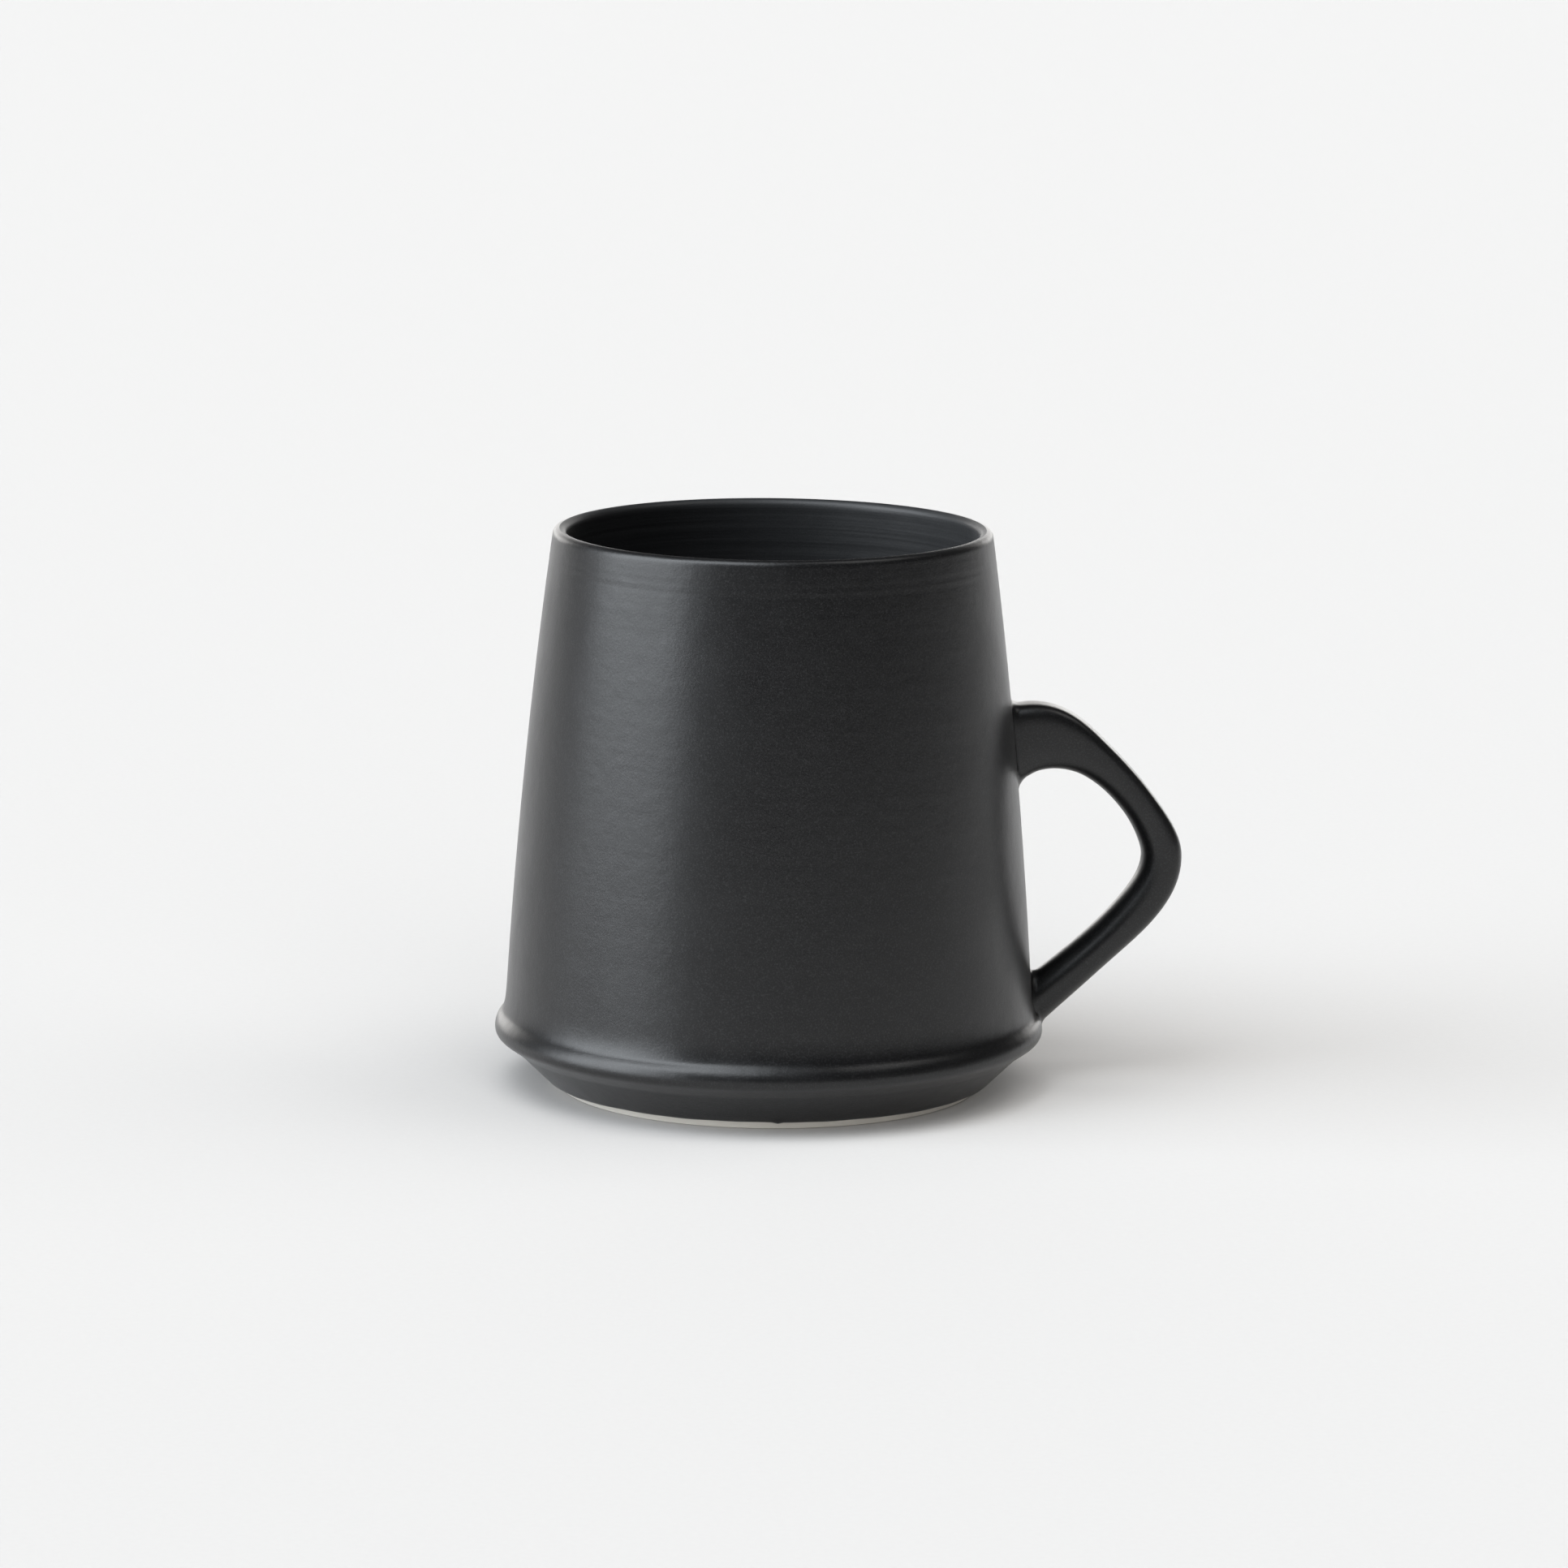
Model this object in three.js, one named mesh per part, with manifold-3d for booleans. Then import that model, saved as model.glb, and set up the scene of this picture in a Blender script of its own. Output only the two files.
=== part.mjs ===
// A thrown and turned porcelain mug with a pulled strap handle, coated in satin black glaze.
//
// The mug is built the way a potter builds it: a thrown body, a handle luted on with two pads of
// joining slip, and a glaze coat over everything except the foot. The coat is fired in three
// stretches that meet at crisp lines: outside, liner and handle.
//
// Millimetres, +Z up, handle toward +X. The origin is the centre of the bounding box's bottom face.

import * as THREE from "three";
import { mergeVertices } from "three/addons/utils/BufferGeometryUtils.js";
import Module from "manifold-3d";

// ---- Driving dimensions -------------------------------------------------------------------------

// Body, measured on the outside of the glaze
const HEIGHT = 96; // table to lip crest
const BODY_RADIUS = 44.9; // wall, just above the shoulder roll
const LIP_INSET = 7.6; // how far the taper brings the lip in from there
const WALL_BULGE = 0.72; // how far the wall swells out past a straight taper
const LIP_ROUND = 1.15; // half the thickness of the lip
const BELT_HEIGHT = 9.9; // widest ring of the shoulder roll
const BELT_STANDOUT = 2; // how far it stands out from the wall
const BELT_TOP_ROUND = 3.5; // rounding above the widest ring
const BELT_UNDER_ROUND = 1.5; // rounding below it
const BLEND_RISE = 7.4; // height above the belt at which the roll has blended into the wall
const CREASE_DROP = 3; // how far below the belt the roll meets the undercut
const CREASE_INSET = 1.2; // how far that crease lies inside the wall
const FOOT_INSET = 8.8; // how far the foot's edge lies inside the wall
const FOOT_RING_WIDTH = 4;
const FOOT_RECESS = 1.8; // how far the underside is turned away inside the ring
const FOOT_RECESS_RUN = 1.2; // radial run of the ring's inner flank
const GLAZE_LINE_HEIGHT = 1.46; // bare clay shows below this
const LOWER_WALL = 3.6; // wall thickness above the inside corner
const FLOOR_HEIGHT = 6; // inside floor above the table
const INSIDE_CORNER = 8.5; // radius between the floor and the wall

// Coat and joints
const GLAZE = 0.4; // thickness of the fired coat
const SEAM = 0.1; // clearance where two coats, pads or clay bodies meet
const SLIP = 0.6; // thickness of a pad of joining slip
const COAT = GLAZE + SEAM; // glazed surface to clay

// Handle: its centreline lies in the XZ plane and starts and ends inside the wall
const UPPER_ROOT_HEIGHT = 59.1; // centre of the upper joint
const UPPER_ROOT_RISE = 0.46; // radians by which the strap leaves the wall upward
const UPPER_PULL = 12.6; // how far the strap holds that direction
const ELBOW_REACH = 22.2; // centreline of the elbow beyond the body radius
const ELBOW_HEIGHT = 39.6;
const ELBOW_PULL_UP = 6.5; // how far the elbow runs upright above its middle
const ELBOW_PULL_DOWN = 5.1; // and below it
const ARM_START_REACH = 5.4; // where the straight lower arm starts, beyond the body radius
const ARM_START_RISE = 8.5; // and above the belt
const ARM_PULL = 17.6; // how far the lower arm's direction shapes the elbow
const LOWER_ROOT_RISE = 4; // centre of the lower joint above the belt
const ROOT_DEPTH_IN_WALL = 5; // how far the centreline runs on inside the wall
const LOWER_ROOT_DROP = 1.2; // how far it sinks there as it levels out at the lower end
const STRAP_WIDTH = 8.5; // across the strap, along Y
const STRAP_SQUARENESS = 2.6; // exponent of the section: 2 is an ellipse
const FILLET_REACH = 2; // how far from the wall the joints' fillets begin
const FILLET_RISE = 1.2; // how far a fillet climbs the wall above and below the strap
const SIDE_FILLET_RISE = 0.5; // the same beside the strap

// Depth of the strap in its own plane, at equal steps from the upper end to the lower end
const STRAP_DEPTHS = [11, 10.2, 6.4, 5.6, 6.5, 6.8, 6.5, 6.8, 7.6];

// Fineness of the curved surfaces
const AROUND_BODY = 48;
const AROUND_STRAP = 16;
const ALONG_STRAP = 36; // a multiple of 4, so that the joints' quarters use the same steps

const wasm = await Module();
wasm.setup();

// ---- Materials ----------------------------------------------------------------------------------

const satinBlack = { color: 0x2b2c2f, roughness: 0.5, metalness: 0 };
const bareClay = { color: 0xe6e0d4, roughness: 0.85, metalness: 0 };
const driedSlip = { color: 0xd9d2c4, roughness: 0.9, metalness: 0 };

function named(name, geometry, look) {
  const mesh = new THREE.Mesh(geometry, new THREE.MeshStandardMaterial(look));
  mesh.name = name;
  return mesh;
}

// ---- Solids -------------------------------------------------------------------------------------

function toSolid(geometry) {
  const bare = geometry.clone();
  bare.deleteAttribute("normal");
  bare.deleteAttribute("uv");
  const merged = mergeVertices(bare);
  return new wasm.Manifold(
    new wasm.Mesh({
      numProp: 3,
      vertProperties: new Float32Array(merged.attributes.position.array),
      triVerts: new Uint32Array(merged.index.array),
    }),
  );
}

function toGeometry(solid) {
  const mesh = solid.getMesh();
  const geometry = new THREE.BufferGeometry();
  geometry.setAttribute("position", new THREE.BufferAttribute(mesh.vertProperties, 3));
  geometry.setIndex(new THREE.BufferAttribute(mesh.triVerts, 1));
  geometry.computeVertexNormals();
  return geometry;
}

// Turns a closed outline of (radius, height) points about the mug's axis, which becomes +Z.
function turned(outline) {
  const geometry = new THREE.LatheGeometry(outline, AROUND_BODY);
  geometry.rotateX(Math.PI / 2);
  return geometry;
}

// ---- Body outline -------------------------------------------------------------------------------

const point = (x, y) => new THREE.Vector2(x, y);

// Points along a run of curves, each with its own number of steps.
function along(runs) {
  const points = [runs[0].curve.getPoint(0)];
  for (const { curve, steps } of runs) {
    points.push(...curve.getPoints(steps).slice(1));
  }
  return points;
}

// Where two lines cross, each given by a point and a direction.
function crossing(start, direction, otherStart, otherDirection) {
  const offset = otherStart.clone().sub(start);
  const reach = offset.cross(otherDirection) / direction.cross(otherDirection);
  return start.clone().addScaledVector(direction, reach);
}

// A quadratic curve that swells away from the straight line between its ends.
function swollen(from, to, bulge) {
  const span = to.clone().sub(from);
  const outward = point(span.y, -span.x).normalize().multiplyScalar(Math.sign(span.y));
  const control = from.clone().add(to).multiplyScalar(0.5).addScaledVector(outward, 2 * bulge);
  return new THREE.QuadraticBezierCurve(from, control, to);
}

const footRadius = BODY_RADIUS - FOOT_INSET;
const lipCentre = point(BODY_RADIUS - LIP_INSET - LIP_ROUND, HEIGHT - LIP_ROUND);
const wallFoot = point(BODY_RADIUS, BELT_HEIGHT + BLEND_RISE);
const wallLean = Math.atan2(LIP_INSET, HEIGHT - wallFoot.y);

// The outside of the glaze, from the table up to the lip crest.
function outsideRuns() {
  const beltRadius = BODY_RADIUS + BELT_STANDOUT;
  const foot = point(footRadius + COAT, 0);
  const crease = point(BODY_RADIUS - CREASE_INSET, BELT_HEIGHT - CREASE_DROP);
  const glazeLine = foot.clone().lerp(crease, GLAZE_LINE_HEIGHT / crease.y);
  const underCentre = point(beltRadius - BELT_UNDER_ROUND, BELT_HEIGHT);
  const topCentre = point(beltRadius - BELT_TOP_ROUND, BELT_HEIGHT);

  // The straight stretch that leaves the crease touches the belt's under-rounding.
  const toCentre = underCentre.clone().sub(crease);
  const climb = toCentre.angle() - Math.asin(BELT_UNDER_ROUND / toCentre.length());
  const under = new THREE.ArcCurve(...underCentre, BELT_UNDER_ROUND, climb - Math.PI / 2, 0, false);

  // The top rounding turns through an eighth of a circle, then blends into the wall.
  const top = new THREE.ArcCurve(...topCentre, BELT_TOP_ROUND, 0, Math.PI / 4, false);
  const lip = new THREE.ArcCurve(...lipCentre, LIP_ROUND, wallLean, Math.PI / 2, false);
  const wall = swollen(wallFoot, lip.getPoint(0), WALL_BULGE);
  const blendControl = crossing(top.getPoint(1), top.getTangent(1), wallFoot, wall.getTangent(0));
  const blend = new THREE.QuadraticBezierCurve(top.getPoint(1), blendControl, wallFoot);

  return [
    { curve: new THREE.LineCurve(foot, glazeLine), steps: 1 },
    { curve: new THREE.LineCurve(glazeLine, crease), steps: 1 },
    { curve: new THREE.LineCurve(crease, under.getPoint(0)), steps: 1 },
    { curve: under, steps: 3 },
    { curve: top, steps: 3 },
    { curve: blend, steps: 3 },
    { curve: wall, steps: 5 },
    { curve: lip, steps: 3 },
  ];
}

// The inside of the liner glaze, from the lip crest down to the middle of the floor.
function insideRuns() {
  const cornerHeight = FLOOR_HEIGHT + INSIDE_CORNER;
  const wallInside = wallFoot.x + (wallFoot.y - cornerHeight) * Math.tan(wallLean) - LOWER_WALL;
  const cornerCentre = point(wallInside - INSIDE_CORNER, cornerHeight);
  const lip = new THREE.ArcCurve(...lipCentre, LIP_ROUND, Math.PI / 2, Math.PI, false);
  const corner = new THREE.ArcCurve(...cornerCentre, INSIDE_CORNER, 0, -Math.PI / 2, true);
  return [
    { curve: lip, steps: 3 },
    { curve: swollen(lip.getPoint(1), corner.getPoint(0), -WALL_BULGE), steps: 5 },
    { curve: corner, steps: 5 },
    { curve: new THREE.LineCurve(corner.getPoint(1), point(0, FLOOR_HEIGHT)), steps: 1 },
  ];
}

// Moves an outline sideways: a positive distance moves it to the left of its direction.
function shifted(outline, distance) {
  return outline.map((here, i) => {
    const before = outline[Math.max(i - 1, 0)];
    const after = outline[Math.min(i + 1, outline.length - 1)];
    const direction = after.clone().sub(before).normalize();
    return point(here.x - direction.y * distance, here.y + direction.x * distance);
  });
}

const outside = along(outsideRuns());
const inside = along(insideRuns());

// Radius of the glazed wall at a height between the table and the lip.
function wallRadius(height) {
  const above = outside.findIndex((here) => here.y >= height);
  const upper = outside[Math.max(above, 1)];
  const lower = outside[Math.max(above, 1) - 1];
  const share = (height - lower.y) / (upper.y - lower.y);
  return THREE.MathUtils.lerp(lower.x, upper.x, share);
}

// The whole body without its hollow, shrunk by an inset from the glazed surface.
function filledBody(inset) {
  const skin = shifted(outside, inset);
  const top = skin[skin.length - 1].y;
  return toSolid(turned([point(0, 0), point(skin[0].x, 0), ...skin, point(0, top), point(0, 0)]));
}

// ---- Body and its coats -------------------------------------------------------------------------

// A point over the middle of the lip, sunk by an inset, or half a seam to one side of it.
function crest(inset, side = 0) {
  return point(lipCentre.x + (side * SEAM) / 2, HEIGHT - inset);
}

function clayBody() {
  const outer = shifted(outside, COAT).filter((here) => here.y > COAT).slice(0, -1);
  const inner = shifted(inside, COAT).slice(1);
  const ringInside = footRadius - FOOT_RING_WIDTH;
  inner[inner.length - 1].x = 0;
  return turned([
    point(0, FOOT_RECESS),
    point(ringInside - FOOT_RECESS_RUN, FOOT_RECESS),
    point(ringInside, 0),
    point(footRadius, 0),
    ...outer,
    crest(COAT),
    ...inner,
    point(0, FOOT_RECESS),
  ]);
}

// The outer coat runs from the glaze line, the outline's second point, to the lip crest.
function outerGlaze() {
  const face = [...outside.slice(1, -1), crest(0, 1)];
  const back = [...shifted(outside, GLAZE).slice(1, -1), crest(GLAZE, 1)];
  return turned([...face, ...back.reverse(), face[0]]);
}

// The liner runs from the lip crest to the middle of the floor.
function innerGlaze() {
  const face = [crest(0, -1), ...inside.slice(1)];
  const back = [crest(GLAZE, -1), ...shifted(inside, GLAZE).slice(1)];
  back[back.length - 1].x = 0;
  return turned([face[face.length - 1], ...back.reverse(), ...face]);
}

// ---- Handle -------------------------------------------------------------------------------------

// The strap's centreline as (radius, height), from inside the upper joint to inside the lower one.
function centreline() {
  const upperRoot = point(wallRadius(UPPER_ROOT_HEIGHT), UPPER_ROOT_HEIGHT);
  const leaving = point(Math.cos(UPPER_ROOT_RISE), Math.sin(UPPER_ROOT_RISE));
  const start = upperRoot.clone().addScaledVector(leaving, -ROOT_DEPTH_IN_WALL);
  const elbow = point(BODY_RADIUS + ELBOW_REACH, ELBOW_HEIGHT);
  const armStart = point(BODY_RADIUS + ARM_START_REACH, BELT_HEIGHT + ARM_START_RISE);
  const lowerRoot = point(BODY_RADIUS, BELT_HEIGHT + LOWER_ROOT_RISE);
  const end = point(lowerRoot.x - ROOT_DEPTH_IN_WALL, lowerRoot.y - LOWER_ROOT_DROP);
  const backAlongArm = armStart.clone().sub(lowerRoot).normalize();
  const intoWall = crossing(lowerRoot, backAlongArm, end, point(1, 0));

  const route = new THREE.CurvePath();
  route.add(new THREE.LineCurve(start, upperRoot));
  route.add(
    new THREE.CubicBezierCurve(
      upperRoot,
      upperRoot.clone().addScaledVector(leaving, UPPER_PULL),
      point(elbow.x, elbow.y + ELBOW_PULL_UP),
      elbow,
    ),
  );
  route.add(
    new THREE.CubicBezierCurve(
      elbow,
      point(elbow.x, elbow.y - ELBOW_PULL_DOWN),
      armStart.clone().addScaledVector(backAlongArm, ARM_PULL),
      armStart,
    ),
  );
  route.add(new THREE.LineCurve(armStart, lowerRoot));
  route.add(new THREE.QuadraticBezierCurve(lowerRoot, intoWall, end));
  return route;
}

const path = centreline();
const depths = new THREE.SplineCurve(STRAP_DEPTHS.map((depth, i) => point(i, depth)));

// Coordinate of the rounded-rectangle section for a coordinate on the unit circle.
function squared(coordinate) {
  return Math.sign(coordinate) * Math.abs(coordinate) ** (2 / STRAP_SQUARENESS);
}

// Share of its full rise that a fillet has at a distance from the wall.
function filletShare(gap) {
  const share = THREE.MathUtils.clamp(1 - gap / FILLET_REACH, 0, 1);
  return share * share;
}

// A stretch of the strap as a solid, shrunk by an inset from its glazed surface.
function strap(inset, from = 0, to = 1) {
  const steps = ALONG_STRAP * (to - from);
  const geometry = new THREE.CylinderGeometry(1, 1, 1, AROUND_STRAP, steps);
  const position = geometry.attributes.position;
  for (let i = 0; i < position.count; i += 1) {
    const across = position.getX(i);
    const sideways = -position.getZ(i);
    const fraction = THREE.MathUtils.lerp(from, to, 0.5 - position.getY(i));
    const centre = path.getPointAt(fraction);
    const tangent = path.getTangentAt(fraction);
    const outward = point(-tangent.y, tangent.x);
    const depth = squared(across) * (depths.getPoint(fraction).y / 2 - inset);
    const x = centre.x + outward.x * depth;
    const z = centre.y + outward.y * depth;
    const y = squared(sideways) * (STRAP_WIDTH / 2 - inset);

    // Fillets climb the wall all round the upper joint, but only inside the loop at the lower one.
    const share = filletShare(Math.hypot(x, y) - wallRadius(z));
    const hold = fraction < 0.5 ? 1 : (1 - across) / 2;
    const climb = share * hold * FILLET_RISE * across * Math.sign(outward.y);
    position.setXYZ(i, x, y + share * hold * SIDE_FILLET_RISE * sideways, z + climb);
  }
  return toSolid(geometry);
}

function handleClay() {
  return toGeometry(strap(COAT).subtract(filledBody(COAT - SLIP - 2 * SEAM)));
}

function handleGlaze() {
  return toGeometry(strap(0).subtract(strap(GLAZE)).subtract(filledBody(-SEAM)));
}

// A pad of slip between the body and one end of the handle.
function slipJoint(from, to) {
  const layer = filledBody(COAT - SLIP - SEAM).subtract(filledBody(COAT - SEAM));
  return toGeometry(strap(COAT, from, to).intersect(layer));
}

// The outer coat stops round each end of the handle, where the clay was luted before glazing.
function outerGlazeRoundHandle() {
  return toGeometry(toSolid(outerGlaze()).subtract(strap(GLAZE)));
}

// ---- Assembly -----------------------------------------------------------------------------------

const UPPER_JOINT_END = 0.25; // the strap's first quarter holds the upper joint
const LOWER_JOINT_START = 0.75; // and its last quarter the lower one

const mug = new THREE.Group();
mug.add(named("clay_body", clayBody(), bareClay));
mug.add(named("handle", handleClay(), bareClay));
mug.add(named("upper_slip_joint", slipJoint(0, UPPER_JOINT_END), driedSlip));
mug.add(named("lower_slip_joint", slipJoint(LOWER_JOINT_START, 1), driedSlip));
mug.add(named("outer_glaze", outerGlazeRoundHandle(), satinBlack));
mug.add(named("inner_glaze", innerGlaze(), satinBlack));
mug.add(named("handle_glaze", handleGlaze(), satinBlack));

// The body's axis stands off the origin so that the whole mug is centred over it.
const box = new THREE.Box3().setFromObject(mug);
mug.position.set(-(box.min.x + box.max.x) / 2, -(box.min.y + box.max.y) / 2, -box.min.z);

const assembly = new THREE.Group();
assembly.add(mug);

export default assembly;
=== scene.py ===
"""A satin black thrown mug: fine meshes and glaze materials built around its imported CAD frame."""

import math

import bpy
import numpy as np
from mathutils import Matrix, Vector


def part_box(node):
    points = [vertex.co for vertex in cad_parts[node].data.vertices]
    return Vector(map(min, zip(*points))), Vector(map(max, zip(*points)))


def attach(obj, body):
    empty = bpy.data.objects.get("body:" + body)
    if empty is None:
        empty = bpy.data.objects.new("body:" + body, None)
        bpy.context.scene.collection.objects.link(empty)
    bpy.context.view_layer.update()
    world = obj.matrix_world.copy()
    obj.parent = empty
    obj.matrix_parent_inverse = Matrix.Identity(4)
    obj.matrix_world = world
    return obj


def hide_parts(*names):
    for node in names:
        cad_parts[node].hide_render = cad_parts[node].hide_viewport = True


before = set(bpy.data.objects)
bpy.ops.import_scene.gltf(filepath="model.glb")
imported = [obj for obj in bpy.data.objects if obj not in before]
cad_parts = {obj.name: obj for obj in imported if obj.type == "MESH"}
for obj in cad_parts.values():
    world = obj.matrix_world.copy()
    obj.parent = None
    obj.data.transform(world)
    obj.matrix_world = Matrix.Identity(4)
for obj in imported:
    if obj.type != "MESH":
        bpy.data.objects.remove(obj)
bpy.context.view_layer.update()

MM = 0.001

# ---- Sizes from the frame (metres) --------------------------------------------------------------

coat_low, coat_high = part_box("outer_glaze")
clay_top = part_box("clay_body")[1].z
liner_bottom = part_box("inner_glaze")[0].z

AXIS_X = (coat_low.x + coat_high.x) / 2
HEIGHT = coat_high.z
BELT_RADIUS = (coat_high.y - coat_low.y) / 2
GLAZE_LINE = coat_low.z
COAT = HEIGHT - clay_top  # the glaze and the seam under it
GLAZE = COAT * 0.8
GLAZE_MESH = 0.8 * GLAZE  # the meshes of the glaze stop short of the clay

# ---- Body outline, relative to the frame --------------------------------------------------------

BELT_STANDOUT = 2 * MM
BODY_RADIUS = BELT_RADIUS - BELT_STANDOUT
LIP_RADIUS = BODY_RADIUS - 7.6 * MM
LIP_ROUND = 1.15 * MM
WALL_BULGE = 0.72 * MM
BELT_HEIGHT = 9.9 * MM
BELT_TOP_ROUND = 3.5 * MM
BELT_UNDER_ROUND = 1.5 * MM
BLEND_TOP = BELT_HEIGHT + 7.4 * MM
CREASE = (BODY_RADIUS - 1.2 * MM, BELT_HEIGHT - 3 * MM)
FOOT_RADIUS = BODY_RADIUS - 8.8 * MM
FOOT_RING_WIDTH = 4 * MM
FOOT_ROUND = 0.45 * MM  # on the outside of the standing ring
RING_ROUND = 0.5 * MM  # on its inside
FOOT_RECESS = 1.8 * MM
RECESS_RUN = 1.6 * MM  # how far the recess takes to reach its depth
FLOOR_HEIGHT = liner_bottom + GLAZE
INSIDE_CORNER = 8.5 * MM
LOWER_WALL = 3.6 * MM

AROUND = 240  # columns of the turned surfaces
ROW = 0.45 * MM  # spacing of their rows

# ---- Traces of the hand -------------------------------------------------------------------------

RING_PITCH = 2.3 * MM  # the spiral that the potter's fingers leave
FINE_PITCH = 1.5 * MM  # finer ridges in a band below the lip
FINE_DEPTH = 0.007 * MM
FINE_HEIGHT = 0.955 * HEIGHT
FINE_BAND = 3.2 * MM
WALL_SHARE = 0.2  # how much of the spiral's depth the outside of the wall shows
LIP_SHARE = 0.7  # and how much more the band below the lip
INSIDE_SHARE = 1.8
FLOOR_SWIRL = 0.04 * MM
FLOOR_PITCH = 4.2 * MM
FOOT_TURNING = 0.03 * MM  # marks of the turning tool under the foot
FOOT_PITCH = 1.7 * MM
BEAD_AT = math.radians(-91.7)  # one bead of glaze hangs below the glaze line
BEAD_WIDTH = 0.011  # radians
BEAD_DROP = 0.22


# ---- Outline helpers ----------------------------------------------------------------------------

def line(start, end):
    return np.array([start, end], float)


def arc(centre, radius, start, end, steps=24):
    angles = np.linspace(start, end, steps)
    return np.column_stack([centre[0] + radius * np.cos(angles), centre[1] + radius * np.sin(angles)])


def bend(start, control, end, steps=40):
    """A quadratic curve."""
    t = np.linspace(0, 1, steps)[:, None]
    return (1 - t) ** 2 * np.array(start) + 2 * t * (1 - t) * np.array(control) + t**2 * np.array(end)


def swollen(start, end, bulge):
    """A quadratic curve that swells to the right of its direction."""
    start, end = np.array(start), np.array(end)
    span = end - start
    right = np.array([span[1], -span[0]]) / np.hypot(*span)
    return bend(start, (start + end) / 2 + 2 * bulge * right, end, 80)


def crossing(start, direction, other, other_direction):
    offset = np.array(other) - start
    turn = direction[0] * other_direction[1] - direction[1] * other_direction[0]
    reach = (offset[0] * other_direction[1] - offset[1] * other_direction[0]) / turn
    return np.array(start) + reach * np.array(direction)


def joined(*runs):
    points = [runs[0][0]]
    for run in runs:
        points.extend(p for p in run if np.hypot(*(p - points[-1])) > 1e-7)
    return np.array(points)


def spaced(points, spacing):
    """The outline again, with points at an even spacing."""
    steps = np.hypot(*np.diff(points, axis=0).T)
    reach = np.concatenate([[0], np.cumsum(steps)])
    at = np.linspace(0, reach[-1], max(2, round(reach[-1] / spacing) + 1))
    return np.column_stack([np.interp(at, reach, points[:, 0]), np.interp(at, reach, points[:, 1])])


def left_of(points):
    """Unit normals to the left of an outline's direction."""
    along = np.gradient(points, axis=0)
    along /= np.hypot(*along.T)[:, None]
    return np.column_stack([-along[:, 1], along[:, 0]])


def eased(low, high, value):
    t = np.clip((value - low) / (high - low), 0, 1)
    return t * t * (3 - 2 * t)


# ---- The two outlines of the glazed surface -----------------------------------------------------

def outside_outline():
    """From the table up to the lip crest."""
    lip_centre = (LIP_RADIUS - LIP_ROUND, HEIGHT - LIP_ROUND)
    lean = math.atan2(BODY_RADIUS - LIP_RADIUS, HEIGHT - BLEND_TOP)
    under_centre = (BELT_RADIUS - BELT_UNDER_ROUND, BELT_HEIGHT)
    top_centre = (BELT_RADIUS - BELT_TOP_ROUND, BELT_HEIGHT)
    reach = np.subtract(under_centre, CREASE)
    climb = math.atan2(reach[1], reach[0]) - math.asin(BELT_UNDER_ROUND / np.hypot(*reach))
    under = arc(under_centre, BELT_UNDER_ROUND, climb - math.pi / 2, 0)
    top = arc(top_centre, BELT_TOP_ROUND, 0, math.pi / 4)
    lip = arc(lip_centre, LIP_ROUND, lean, math.pi / 2)
    wall = swollen((BODY_RADIUS, BLEND_TOP), lip[0], WALL_BULGE)
    control = crossing(top[-1], (-1, 1), wall[0], wall[1] - wall[0])
    blend = bend(top[-1], control, wall[0])
    foot = line((FOOT_RADIUS + COAT, 0), CREASE)
    return joined(foot, line(CREASE, under[0]), under, top, blend, wall, lip)


def inside_outline():
    """From the lip crest down to the middle of the floor."""
    lip_centre = (LIP_RADIUS - LIP_ROUND, HEIGHT - LIP_ROUND)
    lean = math.atan2(BODY_RADIUS - LIP_RADIUS, HEIGHT - BLEND_TOP)
    corner_height = FLOOR_HEIGHT + INSIDE_CORNER
    wall_inside = BODY_RADIUS + (BLEND_TOP - corner_height) * math.tan(lean) - LOWER_WALL
    corner = arc((wall_inside - INSIDE_CORNER, corner_height), INSIDE_CORNER, 0, -math.pi / 2, 40)
    lip = arc(lip_centre, LIP_ROUND, math.pi / 2, math.pi)
    wall = swollen(lip[-1], corner[0], -WALL_BULGE)
    return joined(lip, wall, corner, line(corner[-1], (0, FLOOR_HEIGHT)))


OUTSIDE = outside_outline()
INSIDE = inside_outline()


# ---- Meshes -------------------------------------------------------------------------------------

def mesh_object(name, vertices, faces, material, sharp=math.radians(50)):
    mesh = bpy.data.meshes.new(name)
    mesh.from_pydata([tuple(v) for v in vertices], [], [tuple(f) for f in faces])
    mesh.polygons.foreach_set("use_smooth", np.ones(len(mesh.polygons), bool))
    mesh.set_sharp_from_angle(angle=sharp)
    mesh.materials.append(material)
    mesh.update()
    piece = bpy.data.objects.new(name, mesh)
    bpy.context.scene.collection.objects.link(piece)
    return piece


def turned(outline, shape):
    """Turns a closed outline about the mug's axis. Ends on the axis become single points.

    shape(radius, height, angle) gives the final radius and height of each point, so that a turned
    surface can carry the small unevenness of the hand.
    """
    angles = np.arange(AROUND) * 2 * math.pi / AROUND
    vertices, rings = [], []
    for radius, height in outline:
        if radius < 1e-6:
            rings.append([len(vertices)])
            vertices.append((AXIS_X, 0, height))
            continue
        rings.append(list(range(len(vertices), len(vertices) + AROUND)))
        radii, heights = shape(np.full(AROUND, radius), np.full(AROUND, height), angles)
        vertices.extend(zip(AXIS_X + radii * np.cos(angles), radii * np.sin(angles), heights))
    faces = []
    for lower, upper in zip(rings, rings[1:]):
        for i in range(AROUND):
            j = (i + 1) % AROUND
            if len(lower) == 1 and len(upper) == 1:
                continue
            if len(lower) == 1:
                faces.append((lower[0], upper[j], upper[i]))
            elif len(upper) == 1:
                faces.append((lower[i], lower[j], upper[0]))
            else:
                faces.append((lower[i], lower[j], upper[j], upper[i]))
    return vertices, faces


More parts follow.
